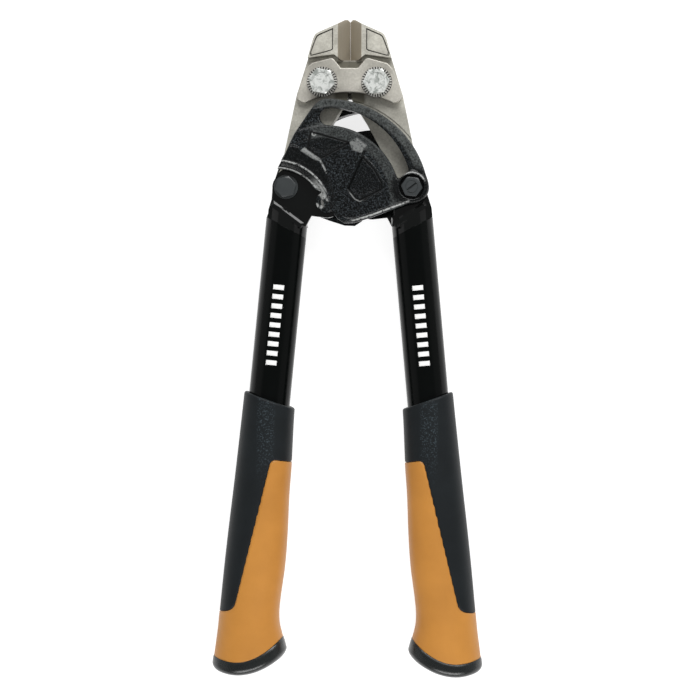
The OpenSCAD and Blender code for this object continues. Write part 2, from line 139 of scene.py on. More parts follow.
class Shader:
    """A Principled material with short calls for the nodes that feed it."""

    def __init__(self, name, **sockets):
        self.mat = bpy.data.materials.new(name)
        self.mat.use_nodes = True
        self.tree = self.mat.node_tree
        self.out = self.tree.nodes["Principled BSDF"]
        for key, value in sockets.items():
            self.out.inputs[key.replace("_", " ").title().replace("Ior", "IOR")].default_value = value
        self.place = self.add("ShaderNodeTexCoord").outputs["Object"]

    def add(self, kind, **settings):
        node = self.tree.nodes.new(kind)
        for key, value in settings.items():
            setattr(node, key, value)
        return node

    def link(self, out, socket):
        self.tree.links.new(out, socket)

    def noise(self, scale, detail=4.0, rough=0.55, stretch=(1, 1, 1), distortion=0.0):
        mapping = self.add("ShaderNodeMapping")
        mapping.inputs["Scale"].default_value = stretch
        self.link(self.place, mapping.inputs["Vector"])
        node = self.add("ShaderNodeTexNoise")
        node.inputs["Scale"].default_value = scale
        node.inputs["Detail"].default_value = detail
        node.inputs["Roughness"].default_value = rough
        node.inputs["Distortion"].default_value = distortion
        self.link(mapping.outputs["Vector"], node.inputs["Vector"])
        return node.outputs["Fac"]

    def spread(self, value, low, high, new_low=0.0, new_high=1.0):
        node = self.add("ShaderNodeMapRange")
        self.link(value, node.inputs["Value"])
        for key, v in (("From Min", low), ("From Max", high), ("To Min", new_low), ("To Max", new_high)):
            node.inputs[key].default_value = v
        return node.outputs["Result"]

    def maths(self, kind, a, b):
        node = self.add("ShaderNodeMath", operation=kind)
        for socket, value in ((node.inputs[0], a), (node.inputs[1], b)):
            if isinstance(value, (int, float)):
                socket.default_value = value
            else:
                self.link(value, socket)
        return node.outputs["Value"]

    def mix(self, value, dark, light):
        node = self.add("ShaderNodeMix", data_type="RGBA")
        self.link(value, node.inputs["Factor"])
        colours = [socket for socket in node.inputs if socket.type == "RGBA"]
        for socket, colour in zip(colours, (dark, light)):
            if isinstance(colour, tuple):
                socket.default_value = (*colour, 1)
            else:
                self.link(colour, socket)
        return next(socket for socket in node.outputs if socket.type == "RGBA")

    def attribute(self, name):
        """A vertex attribute of the mesh."""
        return self.add("ShaderNodeAttribute", attribute_name=name).outputs["Fac"]

    def along(self, axis):
        """One coordinate in the object's own space."""
        parts = self.add("ShaderNodeSeparateXYZ")
        self.link(self.place, parts.inputs["Vector"])
        return parts.outputs[axis]

    def near_seam(self, half, blur):
        """1 where the seam between the jaws is closer than half."""
        return self.spread(self.maths("ABSOLUTE", self.along("X"), 0.0), half, half + blur, 1, 0)

    def corners(self, distance):
        """Mask for painted shade, from ambient occlusion: 0 deep in corners and grooves, 1 in the open.
        """
        node = self.add("ShaderNodeAmbientOcclusion", samples=6, only_local=True)
        node.inputs["Distance"].default_value = distance
        return self.spread(node.outputs["AO"], 0.3, 0.72)

    def spot(self, x, y, radius):
        """1 inside a circle seen along the tool's thickness."""
        square = [self.maths("POWER", self.maths("SUBTRACT", self.along(axis), at), 2.0)
                  for axis, at in (("X", x), ("Y", y))]
        far = self.maths("SQRT", self.maths("ADD", *square), 0.0)
        return self.spread(far, radius - 0.1 * MM, radius, 1, 0)

    def throat(self):
        """1 in the sunk middle between the jaws, where shade is painted."""
        above = self.spread(self.along("Y"), THROAT_FROM, THROAT_FROM + 1 * MM)
        below = self.spread(self.along("Y"), GROUND_FROM - 0.5 * MM, GROUND_FROM, 1, 0)
        near = self.near_seam(THROAT_HALF, 2 * MM)
        return self.maths("MULTIPLY", near, self.maths("MULTIPLY", above, below))

    def ground_edge(self):
        """1 on the ground cutting faces between the jaws, whose height falls towards the seam."""
        high = self.spread(self.along("Y"), GROUND_FROM, GROUND_FROM + 0.1 * MM)
        return self.maths("MULTIPLY", self.near_seam(GROUND_HALF, 0.1 * MM), high)

    def colour(self, out):
        self.link(out, self.out.inputs["Base Color"])

    def roughness(self, out):
        self.link(out, self.out.inputs["Roughness"])

    def bump(self, height, distance, strength=1.0):
        node = self.add("ShaderNodeBump")
        node.inputs["Strength"].default_value = strength
        node.inputs["Distance"].default_value = distance
        self.link(height, node.inputs["Height"])
        if self.out.inputs["Normal"].is_linked:
            self.link(self.out.inputs["Normal"].links[0].from_socket, node.inputs["Normal"])
        self.link(node.outputs["Normal"], self.out.inputs["Normal"])


def steel(name, dark, light, rough=0.42, metal=0.55, bevel=None, shade_under_washers=False):
    """Tumbled, faintly etched steel, with shade painted dark into its corners.

    bevel is the colour of the jaws' ground cutting faces, and it also paints shade into the sunk throat
    below them; the other flag paints dark rings of shade under the washers.
    """
    s = Shader(name, metallic=metal)
    cloud = s.noise(90, 6, 0.6)
    speck = s.noise(900, 3, 0.6)
    colour = s.mix(s.spread(s.maths("MULTIPLY", cloud, speck), 0.12, 0.38), dark, light)
    if bevel:
        ground = s.mix(s.noise(40, 3, stretch=(60, 1, 1)), bevel, tuple(c * 1.25 for c in bevel))
        colour = s.mix(s.ground_edge(), colour, ground)
        # painted shade in the sunk throat between the jaws
        colour = s.mix(s.throat(), colour, THROAT_SHADE)
    # painted shade: dark in corners and grooves, from ambient occlusion
    colour = s.mix(s.corners(1.2 * MM), CORNER_SHADE, colour)
    # painted shade: dark rings on the plate under the washers, so the slits between their teeth look
    # dark
    if shade_under_washers:
        for x in (-WASHER_AT[0], WASHER_AT[0]):
            colour = s.mix(s.spot(x, WASHER_AT[1], WASHER_AT[2]), colour, WASHER_SHADE)
    s.colour(colour)
    s.roughness(s.spread(cloud, 0.3, 0.7, rough - 0.06, rough + 0.1))
    s.bump(speck, 0.05 * MM, 0.5)
    s.bump(s.noise(2600, 2), 0.012 * MM, 0.4)
    return s.mat


def zinc_plate():
    """Bright zinc with grey smudges from handling, and painted shade in its corners."""
    s = Shader("zinc_plate", metallic=0.45)
    smudge = s.spread(s.noise(330, 4, 0.6, distortion=0.8), 0.36, 0.56)
    colour = s.mix(smudge, (0.26, 0.28, 0.26), (0.80, 0.82, 0.79))
    # painted shade: dark in corners and grooves
    s.colour(s.mix(s.corners(0.8 * MM), (0.05, 0.05, 0.045), colour))
    s.roughness(s.spread(smudge, 0, 1, 0.45, 0.3))
    s.bump(smudge, 0.012 * MM, 0.4)
    return s.mat


def black_gloss(name, colour=(0.001, 0.0014, 0.0013), rough=0.16, peel=0.02 * MM, gloss=0.15):
    """Powder coat with a faint orange peel."""
    s = Shader(name, specular_ior_level=gloss)
    cloud = s.noise(40, 3)
    s.colour(s.mix(cloud, colour, tuple(c * 1.7 for c in colour)))
    s.roughness(s.spread(s.noise(300, 4), 0.3, 0.7, rough - 0.04, rough + 0.05))
    s.bump(s.noise(700, 2), peel, 0.5)
    return s.mat


def cast_paint():
    """Glossy black paint over a coarse cast skin.

    Vertex attributes of the castings: "dull_and_lit" is 1 where tumbling has taken the gloss off,
    and also where grey is painted as a highlight on the hollow's sloping band and the step facet;
    "wear_and_highlight" is 1 along lips and edges, mostly bare metal painted as highlights on their
    lit sides and partly paint that has gone; "groove_shade" is 1 in the grooves, painted black as shade;
    "smooth" is 1 where the skin shows no grain, which inside the panels darkens them as painted shade.
    """
    s = Shader("cast_paint", specular_ior_level=0.25)
    grain = s.noise(1150, 4, 0.7)
    lumps = s.noise(420, 3, 0.6)
    dull_and_lit, groove_shade = s.attribute("dull_and_lit"), s.attribute("groove_shade")
    rough_skin = s.maths("SUBTRACT", 1.0, s.attribute("smooth"))
    specks = s.maths("MULTIPLY", s.spread(grain, 0.49, 0.67), rough_skin)
    glossy = s.mix(specks, PAINT_BLACK, (0.036, 0.044, 0.049))
    # the grey of paint that tumbling has made matt, also painted as a highlight on the hollow's sloping
    # band and the step facet
    tumbled_and_lit = s.mix(s.spread(grain, 0.38, 0.62), (0.008, 0.009, 0.009), (0.085, 0.093, 0.09))
    colour = s.mix(dull_and_lit, glossy, tumbled_and_lit)
    # painted shade: black in corners and grooves
    colour = s.mix(s.corners(0.9 * MM), PAINT_BLACK, colour)
    # bare metal along lips and edges: mostly painted highlights on their lit sides, partly paint rubbed
    # off
    chips_and_highlights = s.maths("MULTIPLY", s.attribute("wear_and_highlight"), s.spread(s.noise(700, 3), 0.36, 0.5))
    colour = s.mix(chips_and_highlights, colour, BARE_CASTING_AND_HIGHLIGHT)
    # painted shade: black in the grooves round the panels and along their seam
    s.colour(s.mix(groove_shade, colour, PAINT_BLACK))
    gloss = s.spread(grain, 0.35, 0.65, 0.14, 0.3)
    gloss = s.maths("ADD", gloss, s.maths("MULTIPLY", dull_and_lit, 0.25))
    s.roughness(s.maths("ADD", gloss, s.maths("MULTIPLY", groove_shade, 0.5)))
    s.bump(lumps, 0.3 * MM, 0.6)
    s.bump(grain, 0.3 * MM, 0.7)
    return s.mat


def grip_rubber(name="grip_rubber", colour=(0.0062, 0.0084, 0.0098), rough=0.5, gloss=0.22):
    """Matt rubber; its vertex attribute "stipple" is 1 on the patch of fine raised dots."""
    s = Shader(name, specular_ior_level=gloss)
    fine = s.noise(2600, 2)
    cloud = s.noise(60, 4)
    dots = s.maths("MULTIPLY", s.attribute("stipple"), s.spread(s.noise(1500, 2), 0.55, 0.64))
    body = s.mix(cloud, tuple(c * 0.6 for c in colour), tuple(c * 1.5 for c in colour))
    s.colour(s.mix(dots, body, tuple(c * 6 for c in colour)))
    s.roughness(s.spread(fine, 0.3, 0.7, rough - 0.08, rough + 0.1))
    s.bump(fine, 0.03 * MM, 0.6)
    return s.mat


def grip_orange():
    """Matt orange rubber of the inlays."""
    s = Shader("grip_orange")
    fine = s.noise(2400, 2)
    cloud = s.noise(45, 4)
    s.colour(s.mix(s.spread(cloud, 0.3, 0.7), (0.43, 0.178, 0.025), (0.50, 0.212, 0.032)))
    s.roughness(s.spread(fine, 0.3, 0.7, 0.42, 0.56))
    s.bump(fine, 0.02 * MM, 0.5)
    return s.mat


# ---------------------------------------------------------------- CAD nodes

def finish_node(name, material, bevel=0.25, segments=2):
    """A carried-over CAD node: welded, its sharp edges rounded in mm, and given a material."""
    obj = nodes[name]
    mesh = obj.data
    mesh.materials.clear()
    mesh.materials.append(material)
    if "custom_normal" in mesh.attributes:
        mesh.attributes.remove(mesh.attributes["custom_normal"])
    for face in mesh.polygons:
        face.use_smooth = True
    weld = obj.modifiers.new("weld", "WELD")
    weld.merge_threshold = 0.002 * MM
    if bevel:
        round_over = obj.modifiers.new("round_over", "BEVEL")
        round_over.width = bevel * MM
        round_over.segments = segments
        round_over.limit_method = "ANGLE"
        round_over.angle_limit = math.radians(32)
        round_over.harden_normals = True
    even = obj.modifiers.new("even_shading", "WEIGHTED_NORMAL")
    even.keep_sharp = True


def dress_cad():
    """Materials and edge rounding for every CAD node that stays visible."""
    jaw = steel("jaw_steel", (0.43, 0.415, 0.36), (0.63, 0.615, 0.545), bevel=(0.34, 0.305, 0.245))
    # the plate gets painted rings of shade under the washers
    plate = steel("plate_steel", (0.39, 0.375, 0.33), (0.51, 0.49, 0.44), rough=0.5, shade_under_washers=True)
    washer = steel("washer_steel", (0.45, 0.44, 0.41), (0.65, 0.64, 0.60))
    pin = steel("pin_steel", (0.3, 0.3, 0.29), (0.5, 0.5, 0.48), rough=0.3, metal=0.9)
    zinc = zinc_plate()
    oxide = black_gloss("black_oxide", (0.025, 0.028, 0.029), rough=0.34, gloss=0.4)
    yoke = black_gloss("yoke_paint", rough=0.14, gloss=0.4)
    tube = black_gloss("tube_paint", rough=0.2, gloss=0.12)
    for side in ("left", "right"):
        finish_node(f"{side}_jaw", jaw, 0.06)
        finish_node(f"{side}_jaw_bolt", zinc, 0.2)
        finish_node(f"{side}_jaw_nut", zinc, 0.2)
        finish_node(f"{side}_star_washer", washer, 0.06, 1)
        finish_node(f"{side}_nut_washer", washer, 0.06, 1)
        finish_node(f"{side}_pivot_bolt", oxide, 0.2)
        finish_node(f"{side}_pivot_nut", oxide, 0.2)
        finish_node(f"{side}_yoke", yoke, 0.4, 3)
        finish_node(f"{side}_tube", tube, 0.25)
    for side in ("front", "back"):
        finish_node(f"{side}_link_plate", plate, 0.5, 3)
        finish_node(f"{side}_knuckle_pin", pin, 0.2)


# ---------------------------------------------------------------- grips

HANDLE_TILT = math.radians(5.33)
PIVOT = Vector(joints["left_handle_turn"]["pos_m"])
TUBE_X = 1.6
TUBE_R = 11.3

# The grip in the handle's own frame, mm: (place along, outer edge, inner edge, half thickness)
GRIP_STATIONS = [
    (-100, -12.1, 15.5, 13.2),
    (-124, -12.4, 15.9, 13.3),
    (-150, -12.8, 17.1, 13.4),
    (-165, -13.1, 17.4, 13.5),
    (-186, -13.6, 18.5, 13.8),
    (-204, -13.9, 18.9, 14.0),
    (-226, -14.0, 18.1, 14.1),
    (-235, -14.05, 18.9, 14.2),
    (-242, -14.1, 21.2, 14.4),
    (-250, -14.4, 24.0, 14.6),
    (-270, -15.2, 25.4, 14.6),
]
SECTION_POWER = 0.88        # under 1 squares the section up
AROUND = 144                # points round a ring, and rings along a handle
ALONG = 300
SLEEVE_FROM = 0.009         # where rubber and inlay start, as shares of the way from collar to cap
INLAY_FROM = 0.15
INLAY_THICK = 1.2
INLAY_MARGIN = 1.2          # how far the inlay runs on under the rubber
COLLAR_EDGE = 1.1


def smooth_at(table, x, column):
    """Hermite value of one column of a table sorted downwards by its first column."""
    last = len(table) - 2
    i = next((k for k in range(last + 1) if x >= table[k + 1][0]), last)
    x0, x1 = table[i][0], table[i + 1][0]
    t = (x - x0) / (x1 - x0)
    p1, p2 = table[i][column], table[i + 1][column]

    def slope(k):
        a, b = max(k - 1, 0), min(k + 1, len(table) - 1)
        return (table[b][column] - table[a][column]) / (table[b][0] - table[a][0])

    m1, m2 = slope(i) * (x1 - x0), slope(i + 1) * (x1 - x0)
    return ((2 * t**3 - 3 * t**2 + 1) * p1 + (t**3 - 2 * t**2 + t) * m1
            + (3 * t**2 - 2 * t**3) * p2 + (t**3 - t**2) * m2)


def section(y, angle, grow=0.0):
    """Point of the grip's rounded section at y, grown outwards by grow."""
    outer, inner, half = (smooth_at(GRIP_STATIONS, y, c) for c in (1, 2, 3))
    middle, width = (outer + inner) / 2, (inner - outer) / 2
    c, s = math.cos(angle), math.sin(angle)
    return (middle + (width + grow) * math.copysign(abs(c)**SECTION_POWER, c),
            (half + grow) * math.copysign(abs(s)**SECTION_POWER, s))


def collar_line(x):
    """Slanted top edge of the grip."""
    return -112.2 - (x + 10.7) * 0.237


def cap_line(x):
    """Curved joint between grip and end cap."""
    return -257.4 + (0.0238 if x > -3.6 else 0.011) * (x + 3.6)**2


def cap_depth(x):
    """Height of the end cap along the handle."""
    return 7.4 + 0.0075 * max(x + 2.6, 0)**2


def smooth_min(a, b, k):
    """The smaller of two numbers, blended where they differ by less than k."""
    h = max(k - abs(a - b), 0.0) / k
    return min(a, b) - h * h * k / 4


def inlay_depth(x, y):
    """How far a point of the front view lies inside the orange field, mm."""
    top = -147.6 + 0.07 * (17 - x) - y
    dx, dy = -12.2, -80.0
    side = ((x - 7.0) * -dy + (y + 147) * dx) / math.hypot(dx, dy)
    low = -229.6 + 0.28 * (x + 6) - y
    field = smooth_min(top, side, 3.2)
    return -smooth_min(-field, -low, 4.0)


def ease(x, low, high):
    """Smooth step of a number from 0 at low to 1 at high."""
    t = min(max((x - low) / (high - low), 0.0), 1.0)
    return t * t * (3 - 2 * t)


def to_world(x, y, z, side):
    """Handle frame, mm, to the row frame in metres; the right handle is the left turned half round."""
    c, s = math.cos(-HANDLE_TILT), math.sin(-HANDLE_TILT)
    left_x, way_y = PIVOT.x + (x * c - y * s) * MM, PIVOT.y + (x * s + y * c) * MM
    sign = 1 if side == "left" else -1
    return sign * left_x, way_y, mid_z + sign * z * MM


def skin(mesh, rings):
    """Quads between rings of vertices."""
    for a, b in zip(rings, rings[1:]):
        for j in range(len(a)):
            k = (j + 1) % len(a)
            mesh.faces.new((a[j], a[k], b[k], b[j]))


def smooth_object(name, mesh, material):
    """A bmesh made into an object with smooth shading, its faces all turned outwards."""
    bmesh.ops.recalc_face_normals(mesh, faces=mesh.faces)
    data = bpy.data.meshes.new(name)
    mesh.to_mesh(data)
    mesh.free()
    for face in data.polygons:
        face.use_smooth = True
    data.materials.append(material)
    obj = bpy.data.objects.new(name, data)
    bpy.context.scene.collection.objects.link(obj)
    return obj


def piece(name, mesh, material, side):
    """A visible piece of one handle."""
    obj = smooth_object(name, mesh, material)
    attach(obj, f"{side}_handle")
    return obj


def vertex_layer(obj, name, values):
    """A vertex attribute that a material reads."""
    layer = obj.data.attributes.new(name, "FLOAT", "POINT")
    layer.data.foreach_set("value", values)


def grip_point(t, angle, lift):
    """Point at share t of the way from collar to cap, with lift(x, y) added outwards."""
    y = collar_line(0) * (1 - t) + cap_line(0) * t
    for _ in range(6):
        x, z = section(y, angle)
        y = collar_line(x) * (1 - t) + cap_line(x) * t
    x, z = section(y, angle, lift(x, y))
    return x, y, z


def around(point):
    """A ring of points, from a function of the angle."""
    return [point(2 * math.pi * j / AROUND) for j in range(AROUND)]


def tube_ring(y_of, radius):
    """A ring about the tube's axis, at the height that y_of gives for each x."""
    def at(angle):
        x = TUBE_X + radius * math.cos(angle)
        return x, y_of(x), radius * math.sin(angle)
    return around(at)


def black_lift(x, y):
    """The rubber dips under the inlay."""
    return -1.1 * ease(inlay_depth(x, y), -0.45, 0.35)


def orange_lift(x, y):
    """The inlay's surface sinks outside its own field, where the rubber covers it."""
    return -1.0 + 1.05 * ease(inlay_depth(x, y), -0.35, 0.45)


def collar_round(angle, turn):
    """Rounded upper rim: turn runs from 0 on the end face to 90 degrees on the side."""
    x, y, z = grip_point(0.0, angle, lambda x, y: -COLLAR_EDGE * (1 - math.sin(turn)))
    return x, y - COLLAR_EDGE * (1 - math.cos(turn)), z


def stipple(x, y, z):
    """1 on the patch of fine dots on either face of the grip, fading towards the hand."""
    across = abs(x - 1.2 + (y + 120) * 0.093)
    return ease(-across, -5.6, -3.6) * ease(y, -168, -132) * ease(-y, 107, 119) * ease(abs(z), 6, 9)


def grip_sleeve(side, material):
    """The rubber from its collar down to the cap, closed against the tube."""
    rings = [tube_ring(lambda x: collar_line(x) - 0.1, TUBE_R - 0.2)]
    for k in range(5):
        rings.append(around(lambda a: collar_round(a, math.pi / 8 * k)))
    for i in range(1, ALONG + 1):
        t = SLEEVE_FROM + (1 - SLEEVE_FROM) * i / ALONG
        rings.append(around(lambda a: grip_point(t, a, black_lift)))
    rings.append(tube_ring(cap_line, TUBE_R - 0.2))
    mesh = bmesh.new()
    verts = [[mesh.verts.new(to_world(*p, side)) for p in ring] for ring in rings]
    skin(mesh, verts + verts[:1])
    obj = piece(f"{side}_grip_sleeve", mesh, material, side)
    vertex_layer(obj, "stipple", [stipple(*p) for ring in rings for p in ring])
    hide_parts(f"{side}_grip_body")


def grip_colour_field(side, material):
    """A fine patch of the grip's surface, thickened inwards, that fills the rubber's hollow."""
    mesh = bmesh.new()
    rows = []
    for i in range(ALONG + 1):
        t = INLAY_FROM + (1 - INLAY_FROM) * i / ALONG
        points = around(lambda a: grip_point(t, a, orange_lift))
        rows.append([(mesh.verts.new(to_world(*p, side)), inlay_depth(p[0], p[1])) for p in points])
    for a, b in zip(rows, rows[1:]):
        for j in range(AROUND):
            k = (j + 1) % AROUND
            four = (a[j], a[k], b[k], b[j])
            if min(depth for _, depth in four) > -INLAY_MARGIN:
                mesh.faces.new([v for v, _ in four])
    bmesh.ops.delete(mesh, geom=[v for v in mesh.verts if not v.link_faces], context="VERTS")
    obj = piece(f"{side}_grip_colour", mesh, material, side)
    thick = obj.modifiers.new("thickness", "SOLIDIFY")
    thick.thickness = INLAY_THICK * MM
    thick.offset = -1
    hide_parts(f"{side}_grip_inlay")


CAP_PROUD = 0.35            # how far the cap stands out from the grip
CAP_ROUND = 3.8
CAP_MIDDLE = 2.5
CAP_DOME = 1.2
CAP_RIMS = [(0, -0.6, -1.2), (0, 0.02, -1.0), (0, 0.06, CAP_PROUD - 0.4), (0, 0.45, CAP_PROUD),
            (0.5, 0.2, CAP_PROUD + 0.1)]    # drop_share, drop and grow of cap_point
EDGE_STEPS = 12
BOTTOM_STEPS = 10


def cap_point(angle, drop_share, drop, grow):
    """Point on the cap, so far below its upper line as the share of its height and drop say."""
    y = cap_line(0)
    for _ in range(8):
        x, z = section(y, angle, grow)
        y = cap_line(x) - drop_share * (cap_depth(x) - CAP_ROUND) - drop
    return x, y, z


def end_cap(side, material):
    """Cap a little proud of the grip, rounded over at its lower edge."""
    rings = [around(lambda a: cap_point(a, *rim)) for rim in CAP_RIMS]
    for k in range(EDGE_STEPS + 1):
        turn = math.pi / 2 * k / EDGE_STEPS
        fall, inset = CAP_ROUND * math.sin(turn), CAP_ROUND * (1 - math.cos(turn))
        rings.append(around(lambda a: cap_point(a, 1, fall * 0.97, CAP_PROUD + 0.1 - inset)))
    last = rings[-1]
    for k in range(1, BOTTOM_STEPS):
        share = 1 - k / BOTTOM_STEPS
        inner = [(CAP_MIDDLE + (x - CAP_MIDDLE) * share, z * share) for x, _, z in last]
        rings.append([(x, cap_line(x) - cap_depth(x) - CAP_DOME * (1 - share**2), z) for x, z in inner])
    mesh = bmesh.new()
    verts = [[mesh.verts.new(to_world(*p, side)) for p in ring] for ring in rings]
    skin(mesh, verts)
    mesh.faces.new(verts[0])
    mesh.faces.new(verts[-1])
    obj = piece(f"{side}_cap", mesh, material, side)
    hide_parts(f"{side}_end_cap")


BARS = 9
BAR_FIRST = -53.0
BAR_PITCH = 5.1
BAR_LENGTH = 2.6
BAR_TURN = math.radians(15)     # half the angle that a bar spans on the tube
BAR_STEPS = 12
BAR_THICK = 0.06
BAR_SUNK = 0.1


def tube_bars(side, material):
    """A plain row of equal bars printed on the tube's face."""
    face = 1 if side == "left" else -1
    mesh = bmesh.new()
    for k in range(BARS):
        y = BAR_FIRST - BAR_PITCH * k
        rings = []
        for i in range(BAR_STEPS + 1):
            turn = BAR_TURN * (2 * i / BAR_STEPS - 1)
            ring = [(TUBE_X + r * math.sin(turn), y + dy, face * r * math.cos(turn))
                    for r, dy in ((TUBE_R - BAR_SUNK, 0), (TUBE_R + BAR_THICK, 0),
                                  (TUBE_R + BAR_THICK, -BAR_LENGTH), (TUBE_R - BAR_SUNK, -BAR_LENGTH))]
            rings.append([mesh.verts.new(to_world(*p, side)) for p in ring])
        skin(mesh, rings)
        mesh.faces.new(rings[0])
        mesh.faces.new(rings[-1])
    piece(f"{side}_tube_bars", mesh, material, side)


def make_grips():
    """Bars, rubber, inlay and cap on both handles."""
    white = Shader("bar_white", roughness=0.5)
    white.colour(white.mix(white.noise(900, 3), (0.78, 0.78, 0.77), (0.88, 0.88, 0.87)))
    rubber = grip_rubber()
    colour = grip_orange()
    cap = grip_rubber("cap_rubber", (0.006, 0.008, 0.008), rough=0.3, gloss=0.5)
    for side in ("left", "right"):
        tube_bars(side, white.mat)
        grip_sleeve(side, rubber)
        grip_colour_field(side, colour)
        end_cap(side, cap)


# ---------------------------------------------------------------- castings

# In mm, the front casting seen from the front. Heights are over the tool's middle plane.
HUB = (34.0, 86.4)          # the pivot bolt of the right jaw arm
HUB_R = 8.9
BORE_R = 4.55
WELL_R = 6.5                # the pivot nut's well
WELL_FLOOR = 11.3
KNUCKLE = (-11.85, 78.1)    # the hidden pin
HOLLOW = (-39.0, 70.1)      # middle of the round cut that clears the left pivot
HOLLOW_R = 25.6
LOW_R = 38.5
RIM_R = 55.4                # about the knuckle
RIM_IN = 50.6
SLOT_END_R = 4.7
SLOT_END = (-10.9, KNUCKLE[1] + RIM_IN - SLOT_END_R)
CAST_STEP = 0.36            # grid that the skin is cut from
CAST_FACE = 14.35
CAST_FLOOR = 11.7           # underside, which is deeper at the rim and at both joints
RIM_FLOOR = 6.5
JOINT_FLOOR = 8.4
CAST_LEAST = 0.4            # least thickness over the floor
EDGE_ROUND = 1.1

CAST_EDGE = [(-19.2, 129.7), (-12, 145), (60, 145), (60, 84), (42.4, 81), (33.3, 77.6), (11.9, 69.6),
             (3.4, 66.9), (-2.2, 66.7), (-6, 69.2), (-11, 76.6), (-13.2, 83.2), (-40, 92.8),
             (-36.6, 99.6), (-29, 115.2)]
UPPER_PANEL = [(-19.8, 115.2), (-17.6, 114.6), (-0.4, 109.7), (-14.6, 101.9), (-21.6, 106.6),
               (-21.2, 109.6)]
LOWER_PANEL = [(7.4, 101.6), (13.4, 95.4), (17.6, 88.0), (17.2, 85.0), (6.2, 79.4), (4.2, 80.4),
               (0.4, 85.2)]
BOSS = [(0.4, 110.0), (4.3, 112.2), (9.8, 108.2), (7.0, 104.4), (1.9, 106.0)]
LUMPS = [(-17.2, 76.2, 1.3), (-14.6, 75.4, 1.0), (-16.6, 82.4, 1.1), (-13.4, 80.6, 1.3),
         (-11.2, 79.4, 1.0)]
# STEP_FACET and STEP_EDGE have no shape in the skin: they only place painted highlights
STEP_FACET = [(-25.9, 105.6), (-23.6, 107.2), (-15.0, 101.7), (-15.6, 100.0), (-18.2, 100.8)]
STEP_EDGE = [(-15.2, 100.6), (-11.7, 93.8), (-11.9, 93.7), (-15.4, 100.5)]
PANEL_SEAM = [(8.6, 105.6), (8.9, 105.3), (0.1, 85.0), (-0.3, 85.3)]
SLOT_FIELD = [(-10.9, 100), (-10.9, 140), (60, 140), (60, 106), (24, 84)]
RIM_FIELD = [(-25, 112), (-25, 150), (60, 150), (60, 86), (33, 96), (26, 108), (-12, 128)]
DEEP_FIELD = [(-17, 120), (-19, 145), (60, 145), (60, 92), (26, 108)]
LOW_FIELD = [(-60, 60), (-60, 125), (-27.5, 125), (-25.8, 105), (-17, 99.8), (-11, 91), (-9, 82),
             (-9, 60)]
LOWER_EDGE = [(-2, 67.1), (3.4, 67.3), (11.9, 69.9), (33.3, 77.9), (33.3, 140), (-60, 140), (-13, 83),
              (-6, 70)]


def disc(x, y, centre, r):
    """Signed distance to a circle, negative inside."""
    return np.hypot(x - centre[0], y - centre[1]) - r


def polygon(x, y, corners):
    """Signed distance to a polygon, negative inside."""
    best = np.full(np.shape(x), 1e9)
    inside = np.zeros(np.shape(x), bool)
    for (ax, ay), (bx, by) in zip(corners, corners[1:] + corners[:1]):
        ex, ey, px, py = bx - ax, by - ay, x - ax, y - ay
        along = np.clip((px * ex + py * ey) / (ex * ex + ey * ey), 0, 1)
        best = np.minimum(best, np.hypot(px - ex * along, py - ey * along))
        crosses = ((ay > y) != (by > y)) & (x < ex * (y - ay) / (ey if ey else 1e-9) + ax)
        inside ^= crosses
    return np.where(inside, -best, best)


def soft_max(a, b, k):
    """The larger of two fields, blended where they differ by less than k."""
    h = np.maximum(k - np.abs(a - b), 0) / k
    return np.maximum(a, b) + h * h * k / 4


def soft_min(a, b, k):
    """The smaller of two fields, blended where they differ by less than k."""
    return -soft_max(-a, -b, k)


def rise(d, low, high):
    """Smooth step of a field from 0 at low to 1 at high."""
    t = np.clip((d - low) / (high - low), 0, 1)
    return t * t * (3 - 2 * t)


def cast_slot(x, y):
    """The crescent slot with its round left end and rounded corners."""
    slot = soft_max(disc(x, y, (-13.05, 81.85), 47.4), -disc(x, y, (-12.6, 78.6), 40.7), 1.2)
    slot = soft_max(slot, -10.9 - x, 0.1)
    slot = soft_max(slot, -disc(x, y, HUB, 7.6), 3.0)
    slot = np.maximum(slot, polygon(x, y, SLOT_FIELD))
    return np.minimum(slot, disc(x, y, SLOT_END, SLOT_END_R))


def cast_outline(x, y):
    """Signed distance to the casting's outline with its slot and bore, mm."""
    body = soft_max(disc(x, y, KNUCKLE, RIM_R), polygon(x, y, CAST_EDGE), 6.0)
    body = soft_max(body, -disc(x, y, HOLLOW, HOLLOW_R), 0.8)
    body = soft_min(body, disc(x, y, KNUCKLE, 5.6), 1.2)
    body = soft_min(body, disc(x, y, HUB, HUB_R), 1.5)
    body = soft_max(body, -cast_slot(x, y), 0.5)
    return np.maximum(body, -disc(x, y, HUB, BORE_R))


def rim_field(x, y):
    """Negative on the thick rim outside the slot."""
    return soft_max(-disc(x, y, KNUCKLE, RIM_IN), polygon(x, y, RIM_FIELD), 3)


def low_field(x, y):
    """Negative on the lower level beside the hollow."""
    return soft_max(disc(x, y, HOLLOW, LOW_R), polygon(x, y, LOW_FIELD), 2)


